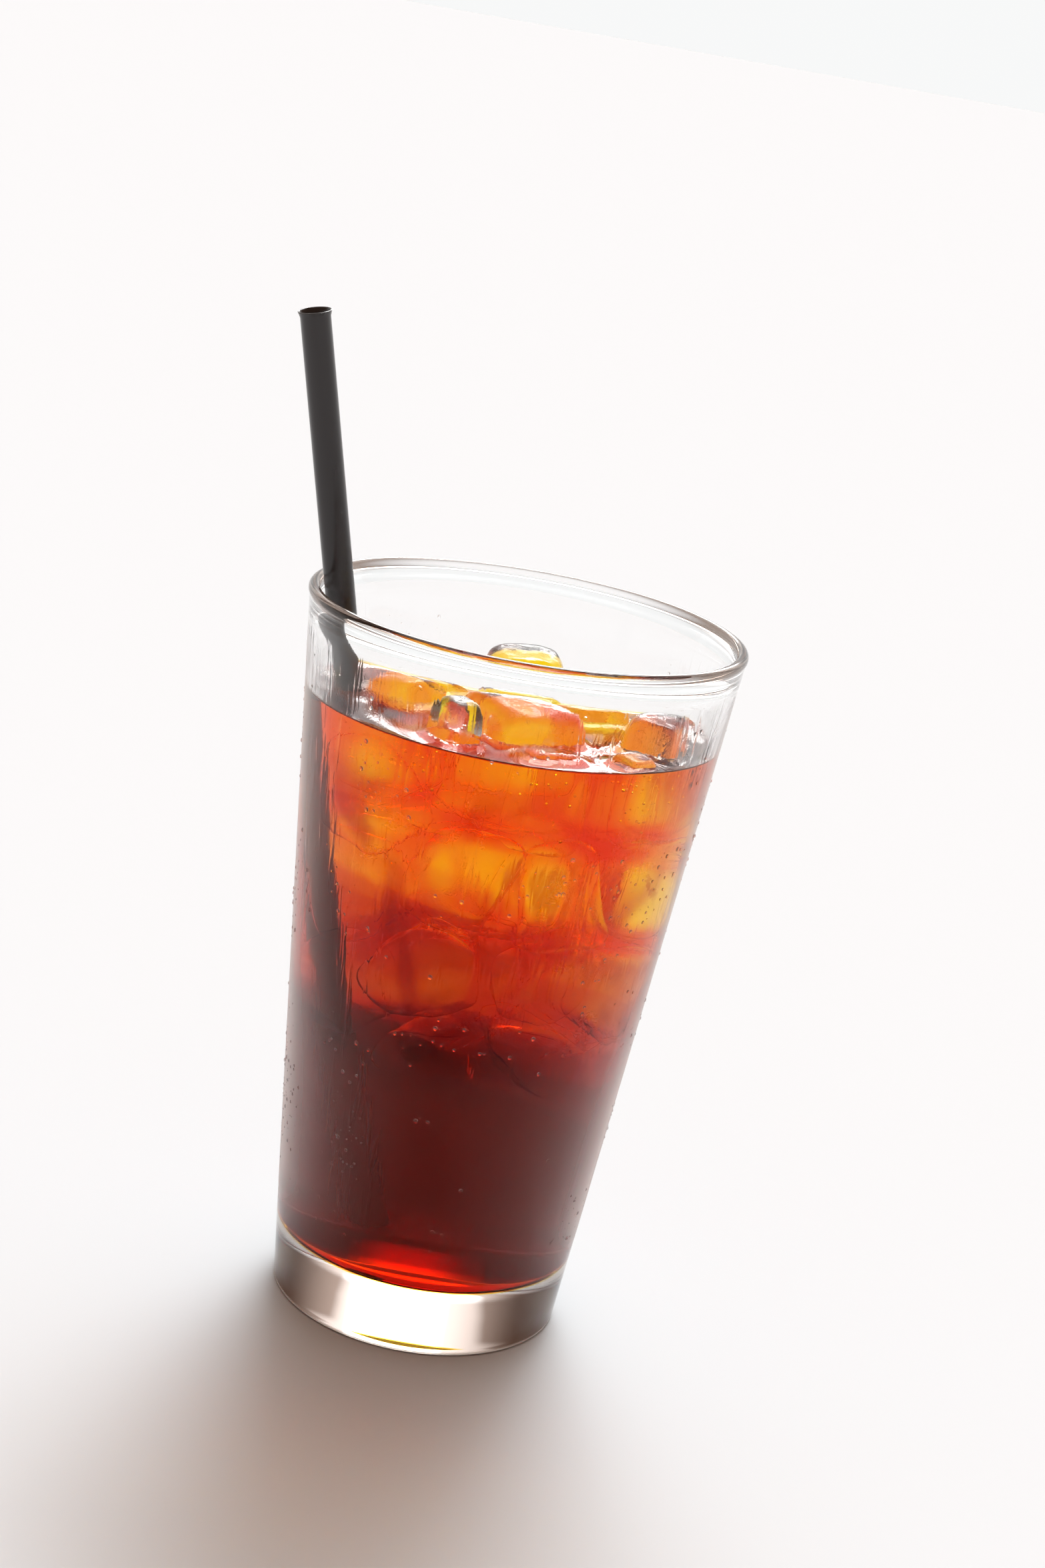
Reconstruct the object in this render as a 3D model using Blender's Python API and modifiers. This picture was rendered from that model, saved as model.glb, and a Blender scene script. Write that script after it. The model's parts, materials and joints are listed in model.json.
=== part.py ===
"""Cold brew coffee with ice and a drinking straw, in a tall conical glass.

The glass stands on the XY plane with its axis on Z, so the origin is the centre of its flat
underside. Sizes are in metres. Every piece is one closed solid: the glass, the coffee up to its
level, the straw, and each ice cube that rises above the surface. The coffee is cut round the
straw and the ice, with a thin gap all round, because touching solids must not share faces.
"""

import math
from typing import NamedTuple

import bmesh
import bpy
from mathutils import Euler, Matrix, Vector, noise

MM = 0.001

# Glass: a straight conical wall on a thick solid base
GLASS_HEIGHT = 150.0 * MM
RIM_RADIUS = 44.5 * MM
FOOT_RADIUS = 30.24 * MM
WALL = 1.8 * MM
BEAD_RADIUS = 1.2 * MM
BASE_THICKNESS = 13.9 * MM
FOOT_EDGE = 0.9 * MM
INNER_CORNER = 3.0 * MM
GLASS_SEGMENTS = 64
CORNER_STEPS = 3
BEAD_STEPS = 8

# Coffee
LEVEL = 129.4 * MM
GAP = 0.3 * MM

# Straw: it stands on the glass's inner bottom and leans on the rim
STRAW_RADIUS = 3.0 * MM
STRAW_WALL = 0.3 * MM
STRAW_LIP = 0.35 * MM
STRAW_LENGTH = 193.5 * MM
STRAW_FOOT = Vector((-7.6, 10.9, 15.05)) * MM
STRAW_AT_RIM = Vector((-38.5, -2.5, 150.0)) * MM
STRAW_SEGMENTS = 24

# Ice: melting softens the corners, and the exponent says how much of the block is left square
ICE_DIVISIONS = 5
ICE_SQUARENESS = 6.5
ICE_LUMP = 0.5 * MM
ICE_LUMP_SCALE = 70.0
ICE_CUT_GAP = 0.35 * MM


class Cube(NamedTuple):
    """One ice cube: its centre and size in millimetres, its lean and turn in degrees."""
    name: str
    centre: tuple
    size: tuple
    lean: tuple
    turn: float
    taper: float


CUBES = (
    Cube("ice_centre", (1.2, -13.4, 125.4), (21.5, 21.0, 24.0), (14.0, 1.0), 35.0, 0.04),
    Cube("ice_left", (-20.2, -1.4, 123.4), (14.0, 13.0, 23.0), (16.0, -7.0), -35.0, 0.03),
    Cube("ice_back_left", (-15.4, 12.4, 122.8), (11.5, 12.0, 23.0), (10.0, -5.0), -28.0, 0.03),
    Cube("ice_back", (1.2, 26.0, 124.4), (17.5, 16.0, 24.0), (6.0, -4.0), 8.0, 0.05),
    Cube("ice_back_right", (15.6, 8.2, 122.4), (15.5, 16.0, 23.5), (-2.0, -5.0), 30.0, 0.05),
    Cube("ice_right", (28.0, -8.6, 125.4), (12.0, 16.5, 23.0), (5.0, 6.0), -14.0, 0.04),
    Cube("ice_front_left", (-10.8, -28.4, 124.6), (8.4, 10.5, 26.0), (2.0, 3.0), 35.0, 0.06),
    Cube("ice_front", (8.4, -30.2, 121.0), (14.0, 9.0, 20.0), (-7.0, 5.0), 33.0, 0.05),
    Cube("ice_front_right", (24.6, -23.8, 122.4), (8.0, 8.0, 18.0), (4.0, -5.0), 40.0, 0.05),
)


def outer_radius(height):
    """Radius of the wall's outer face at a height."""
    run = GLASS_HEIGHT - BEAD_RADIUS
    top = RIM_RADIUS - 0.5 * (2.0 * BEAD_RADIUS - WALL)
    return FOOT_RADIUS + (top - FOOT_RADIUS) * height / run


def inner_radius(height):
    """Radius of the wall's inner face at a height."""
    return outer_radius(height) - WALL


def arc(centre_r, centre_z, radius, start_deg, end_deg, steps):
    """Points of a profile's round stretch, as (radius, height)."""
    points = []
    for step in range(steps + 1):
        angle = math.radians(start_deg + (end_deg - start_deg) * step / steps)
        points.append((centre_r + radius * math.cos(angle), centre_z + radius * math.sin(angle)))
    return points


def clear_scene():
    for found in list(bpy.data.objects):
        bpy.data.objects.remove(found, do_unlink=True)


def new_collection(name):
    collection = bpy.data.collections.new(name)
    bpy.context.scene.collection.children.link(collection)
    return collection


def add_object(name, mesh, collection):
    created = bpy.data.objects.new(name, mesh)
    collection.objects.link(created)
    return created


def set_material(piece, name, colour, roughness, transmission=0.0, ior=1.45):
    """Give a piece its Principled BSDF."""
    material = bpy.data.materials.get(name)
    if material is None:
        material = bpy.data.materials.new(name)
        material.use_nodes = True
        shader = material.node_tree.nodes["Principled BSDF"]
        shader.inputs["Base Color"].default_value = (*colour, 1.0)
        shader.inputs["Roughness"].default_value = roughness
        shader.inputs["Metallic"].default_value = 0.0
        shader.inputs["Transmission Weight"].default_value = transmission
        shader.inputs["IOR"].default_value = ior
        material.diffuse_color = (*colour, 1.0)
    piece.data.materials.clear()
    piece.data.materials.append(material)


def turned(name, profile, segments, collection):
    """Turn a profile of (radius, height) points about Z with a Screw modifier."""
    mesh = bpy.data.meshes.new(name)
    points = [(radius, 0.0, height) for radius, height in profile]
    edges = [(index, index + 1) for index in range(len(points) - 1)]
    mesh.from_pydata(points, edges, [])
    piece = add_object(name, mesh, collection)
    screw = piece.modifiers.new("turn", "SCREW")
    screw.axis = "Z"
    screw.angle = math.tau
    screw.steps = segments
    screw.render_steps = segments
    screw.use_merge_vertices = True
    screw.merge_threshold = 0.00001
    screw.use_smooth_shade = True
    return piece


def glass_profile():
    """From the centre of the inner bottom, up inside, over the rim, down outside, to the floor."""
    corner_z = BASE_THICKNESS + INNER_CORNER
    inner = [(0.0, BASE_THICKNESS)]
    inner += arc(inner_radius(corner_z) - INNER_CORNER, corner_z, INNER_CORNER, -90, 0, CORNER_STEPS)
    bead_r = RIM_RADIUS - BEAD_RADIUS
    bead_z = GLASS_HEIGHT - BEAD_RADIUS
    bead = arc(bead_r, bead_z, BEAD_RADIUS, 210, -30, BEAD_STEPS)
    foot = arc(outer_radius(FOOT_EDGE) - FOOT_EDGE, FOOT_EDGE, FOOT_EDGE, 0, -90, CORNER_STEPS)
    return inner + bead + foot + [(0.0, 0.0)]


def make_glass(collection):
    glass = turned("glass", glass_profile(), GLASS_SEGMENTS, collection)
    set_material(glass, "clear_glass", (0.98, 0.99, 0.985), 0.02, 1.0, 1.5)
    return glass


def coffee_profile():
    """The liquid's outline, from its surface's centre, down the side, to its bottom's centre."""
    bottom = BASE_THICKNESS + GAP
    radius = INNER_CORNER - GAP
    corner_z = bottom + radius
    side = [(0.0, LEVEL), (inner_radius(LEVEL) - GAP, LEVEL)]
    corner = arc(inner_radius(corner_z) - GAP - radius, corner_z, radius, 0, -90, CORNER_STEPS)
    return side + corner + [(0.0, bottom)]


def straw_place():
    """The straw's world matrix: its own Z runs up along its axis, from its foot."""
    axis = (STRAW_AT_RIM - STRAW_FOOT).normalized()
    turn = Vector((0.0, 0.0, 1.0)).rotation_difference(axis).to_matrix().to_4x4()
    return Matrix.Translation(STRAW_FOOT) @ turn


def make_straw(collection):
    """A thin tube, open at both ends, with a small flared lip at the top."""
    inner = STRAW_RADIUS - STRAW_WALL
    flare_start = STRAW_LENGTH - 1.2 * MM
    profile = [
        (inner, 0.0),
        (inner, flare_start),
        (inner + STRAW_LIP, STRAW_LENGTH),
        (STRAW_RADIUS + STRAW_LIP, STRAW_LENGTH),
        (STRAW_RADIUS, flare_start),
        (STRAW_RADIUS, 0.0),
        (inner, 0.0),
    ]
    straw = turned("straw", profile, STRAW_SEGMENTS, collection)
    straw.matrix_world = straw_place()
    set_material(straw, "black_plastic", (0.012, 0.011, 0.012), 0.25)
    return straw


def ice_mesh(name, cube, grow):
    """A melted block: a gridded cube pulled in at its edges, tapered a little and lumpy."""
    mesh = bpy.data.meshes.new(name)
    shape = bmesh.new()
    bmesh.ops.create_cube(shape, size=2.0)
    cuts = ICE_DIVISIONS - 1
    bmesh.ops.subdivide_edges(shape, edges=shape.edges, cuts=cuts, use_grid_fill=True)
    half = Vector(cube.size) * 0.5 * MM
    lump_origin = Vector(cube.centre) * 0.37
    for vertex in shape.verts:
        spot = vertex.co.copy()
        total = sum(abs(part) ** ICE_SQUARENESS for part in spot)
        spot /= total ** (1.0 / ICE_SQUARENESS)
        narrowing = 1.0 - cube.taper * spot.z
        place = Vector((spot.x * half.x * narrowing, spot.y * half.y * narrowing, spot.z * half.z))
        lump = ICE_LUMP * noise.noise(place * ICE_LUMP_SCALE + lump_origin)
        vertex.co = place + spot.normalized() * (lump + grow)
    bmesh.ops.recalc_face_normals(shape, faces=shape.faces)
    shape.to_mesh(mesh)
    shape.free()
    for face in mesh.polygons:
        face.use_smooth = True
    return mesh


def place_cube(piece, cube):
    piece.location = Vector(cube.centre) * MM
    piece.rotation_euler = Euler([math.radians(angle) for angle in (*cube.lean, cube.turn)])


def make_ice(cube, collection):
    piece = add_object(cube.name, ice_mesh(cube.name, cube, 0.0), collection)
    place_cube(piece, cube)
    set_material(piece, "clear_ice", (0.93, 0.96, 0.98), 0.05, 1.0, 1.31)
    return piece


def make_cutter(piece):
    """A cutter shows as a wire and takes no part in the model."""
    piece.hide_render = True
    piece.display_type = "WIRE"
    return piece


def make_ice_cutter(cube, collection):
    name = "space_for_" + cube.name
    piece = add_object(name, ice_mesh(name, cube, ICE_CUT_GAP), collection)
    place_cube(piece, cube)
    return make_cutter(piece)


def make_straw_cutter(collection):
    """A rod along the straw's axis that runs out of the coffee at both ends."""
    overrun = 5.0 * MM
    mesh = bpy.data.meshes.new("space_for_straw")
    rod = bmesh.new()
    radius = STRAW_RADIUS + GAP
    bmesh.ops.create_cone(rod, cap_ends=True, segments=STRAW_SEGMENTS, radius1=radius, radius2=radius,
                          depth=LEVEL + 2.0 * overrun)
    bmesh.ops.translate(rod, verts=rod.verts, vec=(0.0, 0.0, 0.5 * LEVEL))
    rod.to_mesh(mesh)
    rod.free()
    piece = add_object("space_for_straw", mesh, collection)
    piece.matrix_world = straw_place()
    return make_cutter(piece)


def make_coffee(collection, cutters):
    coffee = turned("coffee", coffee_profile(), GLASS_SEGMENTS, collection)
    coffee.data.flip_normals()
    for cutter in cutters:
        cut = coffee.modifiers.new(cutter.name, "BOOLEAN")
        cut.operation = "DIFFERENCE"
        cut.solver = "EXACT"
        cut.object = cutter
    set_material(coffee, "coffee", (0.22, 0.045, 0.010), 0.03, 0.6, 1.333)
    return coffee


def main():
    clear_scene()
    drink = new_collection("iced_cold_brew_coffee")
    spaces = new_collection("cutters")
    make_glass(drink)
    make_straw(drink)
    for cube in CUBES:
        make_ice(cube, drink)
    cutters = [make_ice_cutter(cube, spaces) for cube in CUBES]
    cutters.append(make_straw_cutter(spaces))
    make_coffee(drink, cutters)


main()
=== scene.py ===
"""Iced cold brew coffee in a conical glass: the finished look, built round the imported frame.

Each operator builds one piece or group of like pieces and one builds the stage. Lengths are in
metres, +Z is up, and the glass stands on the XY plane with its axis on Z.
"""

import json
import math
import random

import bmesh
import bpy
from bpy.props import FloatProperty, FloatVectorProperty, IntProperty, PointerProperty
from mathutils import Euler, Matrix, Vector, noise
from mathutils.bvhtree import BVHTree

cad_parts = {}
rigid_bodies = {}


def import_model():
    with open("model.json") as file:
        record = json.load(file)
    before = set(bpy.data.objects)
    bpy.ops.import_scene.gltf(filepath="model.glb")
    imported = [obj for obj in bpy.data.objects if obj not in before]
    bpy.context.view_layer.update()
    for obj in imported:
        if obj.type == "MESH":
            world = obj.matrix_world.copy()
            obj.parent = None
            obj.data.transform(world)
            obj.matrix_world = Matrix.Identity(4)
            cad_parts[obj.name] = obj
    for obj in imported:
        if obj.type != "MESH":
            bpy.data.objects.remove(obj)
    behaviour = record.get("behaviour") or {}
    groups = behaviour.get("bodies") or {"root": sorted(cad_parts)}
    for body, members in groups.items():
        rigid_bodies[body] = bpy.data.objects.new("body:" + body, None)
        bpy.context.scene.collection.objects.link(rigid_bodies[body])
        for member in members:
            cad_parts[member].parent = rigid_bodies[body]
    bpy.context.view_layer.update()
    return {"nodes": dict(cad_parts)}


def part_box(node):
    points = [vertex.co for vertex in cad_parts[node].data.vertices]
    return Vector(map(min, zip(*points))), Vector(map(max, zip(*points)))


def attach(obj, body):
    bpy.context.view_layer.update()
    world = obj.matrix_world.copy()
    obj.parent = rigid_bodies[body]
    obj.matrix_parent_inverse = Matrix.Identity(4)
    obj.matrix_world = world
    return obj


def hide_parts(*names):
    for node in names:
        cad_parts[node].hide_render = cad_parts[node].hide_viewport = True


bl_info = {
    "name": "Iced Cold Brew Coffee",
    "version": (1, 0, 0),
    "blender": (4, 5, 0),
    "location": "View3D > Sidebar > Iced Coffee",
    "description": "Dresses the packed glass of iced coffee: glass, coffee, ice, straw and condensation",
    "category": "Add Mesh",
}

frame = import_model()

MM = 0.001
WHITE = (1.0, 1.0, 1.0)
TINY = 1e-6
SEGMENTS = 192
GLASS_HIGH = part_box("glass")[1]
COFFEE_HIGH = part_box("coffee")[1]
ICE_NODES = sorted(name for name in frame["nodes"] if name.startswith("ice_"))


def length_property(name, description, metres):
    return FloatProperty(name=name, description=description, default=metres, unit="LENGTH")


def number_property(name, description, value):
    return FloatProperty(name=name, description=description, default=value)


def colour_property(name, description, colour):
    return FloatVectorProperty(name=name, description=description, default=colour, size=3, subtype="COLOR")


class GlassSizes(bpy.types.PropertyGroup):
    height: length_property("Height", "Glass height", GLASS_HIGH.z)
    rim_radius: length_property("Rim radius", "Outer radius of the rim", GLASS_HIGH.x)
    foot_radius: length_property("Foot radius", "Outer radius of the wall at the floor", 30.24 * MM)
    wall: length_property("Wall", "Wall thickness", 1.8 * MM)
    bead_radius: length_property("Bead radius", "Radius of the rounded rim", 1.2 * MM)
    base: length_property("Base", "Thickness of the solid base", 13.9 * MM)
    foot_edge: length_property("Foot edge", "Rounding of the foot's edge", 0.9 * MM)
    inner_corner: length_property("Inner corner", "Rounding where wall meets bottom", 3.0 * MM)
    index: number_property("Index", "Refractive index of the glass", 1.5)
    wet_index: number_property("Wet index", "Index of glass against coffee", 1.125)
    mist: number_property("Mist", "Veil of fine condensation seen edge on", 1.0)
    # Strength of the painted shade on the foot's two sides.
    shade: number_property("Shade", "How dark the foot's two sides look", 0.93)


class CoffeeSizes(bpy.types.PropertyGroup):
    flat_level: length_property(
        "Flat level", "Height of the surface away from walls", COFFEE_HIGH.z - 0.5 * MM)
    rise: length_property("Rise", "How far the surface climbs what it touches", 1.1 * MM)
    reach: length_property("Reach", "How far from a wall the climb fades", 1.5 * MM)
    bite: length_property("Bite", "How far the coffee reaches into the glass wall", 0.3 * MM)
    index: number_property("Index", "Refractive index of the coffee", 1.333)
    absorption: FloatVectorProperty(
        name="Absorption", description="Light lost per metre, by colour", size=3,
        default=(4.0, 51.0, 800.0))
    deep_absorption: FloatVectorProperty(
        name="Deep absorption", size=3, default=(50.0, 240.0, 500.0),
        description="More light lost per metre under the melt water")
    middle_absorption: FloatVectorProperty(
        name="Middle absorption", size=3, default=(7.0, 30.0, 30.0),
        description="More light lost per metre half way down")
    middle_level: length_property("Middle level", "Top of the coffee that melt half thins", 88.0 * MM)
    deep_level: length_property("Deep level", "Top of the coffee not yet thinned by melt", 57.5 * MM)
    slope: number_property("Slope", "How steeply the layers fall towards +X", 0.28)
    roll: length_property("Roll", "Height of the layers' waves", 7.0 * MM)
    # Strength of the matte red skin on the lower wall: partly a haze of fine grounds, partly a painted red
    # glow.
    haze_and_glow: number_property("Haze", "Share of light that the fine grounds scatter", 0.26)
    swirl: number_property("Swirl", "Share of light lost in swirls of strong coffee", 0.95)


class IceSizes(bpy.types.PropertyGroup):
    index: number_property("Index", "Refractive index of ice in air", 1.31)
    sunk_index: number_property("Sunk index", "Index of ice against coffee", 0.988)
    squareness: number_property("Squareness", "How square a melted cube stays", 12.0)
    film: length_property("Film", "Half the coffee between two sunk cubes", 0.35 * MM)
    wedge: length_property("Wedge", "More coffee between two skewed faces", 1.1 * MM)
    skew: number_property("Skew", "How far facing faces turn from parallel", 0.35)
    divisions: IntProperty(name="Divisions", description="Grid of a sunk cube's face", default=16)
    lump: length_property("Lump", "Height of the melt's broad lumps", 1.3 * MM)
    dimple: length_property("Dimple", "Height of the melt's small dimples", 0.2 * MM)
    shrink: length_property("Shrink", "How far the coffee reaches into the ice", 0.1 * MM)
    least: length_property("Least", "Least distance from a sunk cube's centre to a face", 3.0 * MM)
    bubbles: IntProperty(name="Bubbles", description="Air bubbles frozen in each cube", default=26)
    seed: IntProperty(name="Seed", description="Seed of the bubbles' places", default=11)


class StrawSizes(bpy.types.PropertyGroup):
    radius: length_property("Radius", "Outer radius", 3.0 * MM)
    wall: length_property("Wall", "Wall thickness", 0.3 * MM)
    lip: length_property("Lip", "How far the top lip flares", 0.35 * MM)
    length: length_property("Length", "Straw length", 193.5 * MM)
    colour: colour_property("Colour", "Colour of the plastic", (0.013, 0.0085, 0.0085))
    # Painted glow: the reddish brown that the straw takes below the surface stands in for the coffee's red
    # light around it.
    sunk_painted_glow: colour_property("Sunk colour", "Colour that the coffee leaves of it", (0.26, 0.12, 0.07))
    foot: FloatVectorProperty(
        name="Foot", description="Centre of the lower end", size=3,
        default=(-7.6 * MM, 10.9 * MM, 15.05 * MM), subtype="XYZ")
    at_rim: FloatVectorProperty(
        name="At rim", description="Where its axis passes the rim", size=3,
        default=(-38.5 * MM, -2.5 * MM, 150.0 * MM), subtype="XYZ")


class DropSizes(bpy.types.PropertyGroup):
    per_area: number_property("Drops per area", "Most drops on a square metre", 400000.0)
    smallest: length_property("Smallest", "Radius of the smallest drop", 0.08 * MM)
    largest: length_property("Largest", "Radius of the largest drop", 0.5 * MM)
    lowest: length_property("Lowest", "Height of the lowest drops", 22.0 * MM)
    highest: length_property("Highest", "Height of the highest drops", 138.0 * MM)
    index: number_property("Index", "Refractive index of water", 1.333)
    most_faces: IntProperty(name="Most faces", description="Most faces of all drops", default=199000)
    seed: IntProperty(name="Seed", description="Seed of the drops' places", default=7)


class StageSizes(bpy.types.PropertyGroup):
    floor_colour: colour_property("Floor colour", "Colour of the floor", (0.737, 0.7985, 0.837))
    studio_colour: colour_property("Studio colour", "Colour of the lights behind", (0.985, 0.99, 0.99))
    room_colour: colour_property("Room colour", "Colour of the light all round", (1.0, 0.63, 0.47))
    side: number_property("Side", "How far the lights stand to the right", 0.06)
    sky: number_property("Sky", "Strength of the warm light all round", 0.385)
    horizon: number_property("Horizon", "Strength of the light low down behind", 0.95)
    softbox: number_property("Softbox", "Strength of the large soft light behind", 2.6)
    lamp: number_property("Lamp", "Strength of the softbox's brighter middle", 15.0)
    above: number_property("Above", "Strength of the lamp high up behind", 24.0)
    lens: number_property("Lens", "Focal length in millimetres", 62.23)
    sensor: number_property("Sensor", "Height of the film in millimetres", 36.0)
    eye: FloatVectorProperty(
        name="Eye", description="Place of the camera", size=3, default=(0.0, -0.53018, 0.26538),
        subtype="XYZ")
    pitch: number_property("Pitch", "Camera's pitch in degrees", -15.87)
    yaw: number_property("Yaw", "Camera's yaw in degrees", 0.473)
    roll: number_property("Roll", "Camera's roll in degrees", 9.98)


class Field:
    """A shader socket that takes arithmetic, each step adding its Math node."""

    def __init__(self, surface, socket):
        self.surface = surface
        self.socket = socket

    def math(self, operation, *others, clamp=False):
        settings = {"operation": operation, "use_clamp": clamp}
        values = dict(enumerate((self, *others)))
        return self.surface.node("ShaderNodeMath", settings, values)

    def __add__(self, other):
        return self.math("ADD", other)

    __radd__ = __add__

    def __mul__(self, other):
        return self.math("MULTIPLY", other)

    def __sub__(self, other):
        return self.math("SUBTRACT", other)

    def __rsub__(self, other):
        return (self * -1.0) + other

    def __gt__(self, other):
        return self.math("GREATER_THAN", other)

    def __lt__(self, other):
        return self.math("LESS_THAN", other)

    def power(self, exponent):
        return self.math("POWER", exponent)

    def clamped(self):
        return self.math("ADD", 0.0, clamp=True)

    def ramp(self, low, high):
        """0 below low, 1 above high, smooth between."""
        settings = {"interpolation_type": "SMOOTHSTEP"}
        values = {"Value": self, "From Min": low, "From Max": high}
        return self.surface.node("ShaderNodeMapRange", settings, values)

    def fade(self, low, high):
        """1 below low, 0 above high."""
        return 1.0 - self.ramp(low, high)

    def band(self, low, full, fading, high):
        """0 below low and above high, 1 from full to fading."""
        return self.ramp(low, full) * self.fade(fading, high)


class Surface:
    """One material: its nodes are made by a single method and joined at its output."""

    def __init__(self, holder, output="ShaderNodeOutputMaterial"):
        self.material = bpy.data.materials.new(holder) if isinstance(holder, str) else holder
        self.material.use_nodes = True
        self.tree = self.material.node_tree
        self.tree.nodes.clear()
        self.output = self.tree.nodes.new(output)

    def node(self, kind, settings=None, values=None, out=0):
        """Add a node, with its settings first, then values or links by input name or number."""
        made = self.tree.nodes.new(kind)
        for key, setting in (settings or {}).items():
            setattr(made, key, setting)
        for key, value in (values or {}).items():
            if isinstance(value, Field):
                self.tree.links.new(value.socket, made.inputs[key])
            else:
                made.inputs[key].default_value = value
        return Field(self, made.outputs[out])

    def place(self, scale=(1.0, 1.0, 1.0), turn=(0.0, 0.0, 0.0)):
        """Object coordinates, stretched and turned."""
        spot = self.node("ShaderNodeTexCoord", out="Object")
        return self.node("ShaderNodeMapping", None, {"Vector": spot, "Scale": scale, "Rotation": turn})

    def axis(self, name):
        """One of the object coordinates."""
        spot = self.node("ShaderNodeTexCoord", out="Object")
        return self.node("ShaderNodeSeparateXYZ", None, {"Vector": spot}, out=name)

    def noise(self, vector, scale, detail=2.0, roughness=0.5, distortion=0.0):
        values = {"Vector": vector, "Scale": scale, "Detail": detail, "Roughness": roughness,
                  "Distortion": distortion}
        return self.node("ShaderNodeTexNoise", None, values)

    def attribute(self, name):
        return self.node("ShaderNodeAttribute", {"attribute_name": name}, out="Fac")

    def bump(self, height, strength, distance):
        values = {"Height": height, "Strength": strength, "Distance": distance}
        return self.node("ShaderNodeBump", None, values)

    def principled(self, colour, roughness, **extra):
        """Extra values name sockets with underscores for spaces."""
        values = {"Base Color": (*colour, 1.0), "Roughness": roughness}
        values.update({key.replace("_", " "): value for key, value in extra.items()})
        return self.node("ShaderNodeBsdfPrincipled", None, values)

    def clear(self, colour, index, roughness=0.0, **extra):
        """A clear substance that light passes through."""
        return self.principled(colour, roughness, IOR=index, Transmission_Weight=1.0, **extra)

    def blend(self, factor, first, second):
        values = {0: factor, 6: (*first, 1.0), 7: (*second, 1.0)}
        return self.node("ShaderNodeMix", {"data_type": "RGBA"}, values, out=2)

    def mix(self, factor, first, second):
        return self.node("ShaderNodeMixShader", None, {0: factor, 1: first, 2: second})

    def finish(self, shader, volume=None):
        self.tree.links.new(shader.socket, self.output.inputs["Surface"])
        if volume is not None:
            self.tree.links.new(volume.socket, self.output.inputs["Volume"])
        return self.material


def sizes(name):
    """One of the scene's groups of sizes."""
    return getattr(bpy.context.scene.iced_coffee, name)


def add_piece(name, mesh, material):
    piece = bpy.data.objects.new(name, mesh)
    bpy.context.scene.collection.objects.link(piece)
    mesh.materials.clear()
    mesh.materials.append(material)
    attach(piece, "root")
    return piece


def arc(centre_r, centre_z, radius, start_deg, end_deg, steps):
    """Points of a profile's round stretch, as (radius, height)."""
    points = []
    for step in range(steps + 1):
        angle = math.radians(start_deg + (end_deg - start_deg) * step / steps)
        points.append((centre_r + radius * math.cos(angle), centre_z + radius * math.sin(angle)))
    return points


def lathe(name, profile, segments):
    """Turn a profile of (radius, height) about Z. A radius of 0 becomes one point on the axis."""
    points = []
    rings = []
    for radius, height in profile:
        count = segments if radius > TINY else 1
        rings.append((len(points), count))
        for step in range(count):
            angle = math.tau * step / segments
            points.append((radius * math.cos(angle), radius * math.sin(angle), height))
    faces = []
    for (first, first_count), (second, second_count) in zip(rings, rings[1:]):
        for step in range(segments):
            following = (step + 1) % segments
            corner = [first + step % first_count, second + step % second_count,
                      second + following % second_count, first + following % first_count]
            faces.append(list(dict.fromkeys(corner)))
    mesh = bpy.data.meshes.new(name)
    mesh.from_pydata(points, [], faces)
    mesh.shade_smooth()
    return mesh


def mark_faces(mesh, name, test):
    """Write 1 on the faces that pass the test and 0 on the rest, as a face attribute."""
    marks = mesh.attributes.new(name, "FLOAT", "FACE")
    for face in mesh.polygons:
        marks.data[face.index].value = 1.0 if test(face) else 0.0


def outer_radius(height):
    glass = sizes("glass")
    run = glass.height - glass.bead_radius
    top = glass.rim_radius - 0.5 * (2.0 * glass.bead_radius - glass.wall)
    return glass.foot_radius + (top - glass.foot_radius) * height / run


def inner_radius(height):
    return outer_radius(height) - sizes("glass").wall


def glass_profile():
    """From the centre of the inner bottom, up inside, over the rim, down outside, to the floor."""
    glass = sizes("glass")
    corner_z = glass.base + glass.inner_corner
    corner_r = inner_radius(corner_z) - glass.inner_corner
    flat = [(corner_r * part / 6.0, glass.base) for part in range(6)]
    inner = arc(corner_r, corner_z, glass.inner_corner, -90, 0, 8)
    bead_r = glass.rim_radius - glass.bead_radius
    bead_z = glass.height - glass.bead_radius
    bead = arc(bead_r, bead_z, glass.bead_radius, 222, -42, 24)
    foot_r = outer_radius(glass.foot_edge) - glass.foot_edge
    foot = arc(foot_r, glass.foot_edge, glass.foot_edge, 0, -90, 6)
    wall_up = []
    wall_down = []
    for part in range(1, 24):
        share = part / 24.0
        up = corner_z + (bead_z - glass.bead_radius - corner_z) * share
        down = bead_z - glass.bead_radius - (bead_z - glass.bead_radius - glass.foot_edge) * share
        wall_up.append((inner_radius(up), up))
        wall_down.append((outer_radius(down), down))
    under = [(foot_r * part / 6.0, 0.0) for part in range(5, -1, -1)]
    return flat + inner + wall_up + bead + wall_down + foot + under


MIST_HEIGHTS = (12.0 * MM, 30.0 * MM, 136.0 * MM, 147.0 * MM)
MOST_MIST_HEIGHTS = (45.0 * MM, 90.0 * MM)
# Heights of the painted highlight along the foot's bottom edge.
FOOT_HIGHLIGHT_HEIGHTS = (0.1 * MM, 0.3 * MM, 0.6 * MM, 1.3 * MM)
FOOT_SHADE_HEIGHTS = (12.5 * MM, 14.5 * MM)
RIM_SHADE_DEPTHS = (2.4 * MM, 1.8 * MM)
CLEAR_GLASS = (0.995, 0.998, 0.996)
# Colour of the painted shade on the rim and on the foot's two sides.
PAINTED_SHADE_COLOUR = (0.15, 0.10, 0.075)


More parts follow.
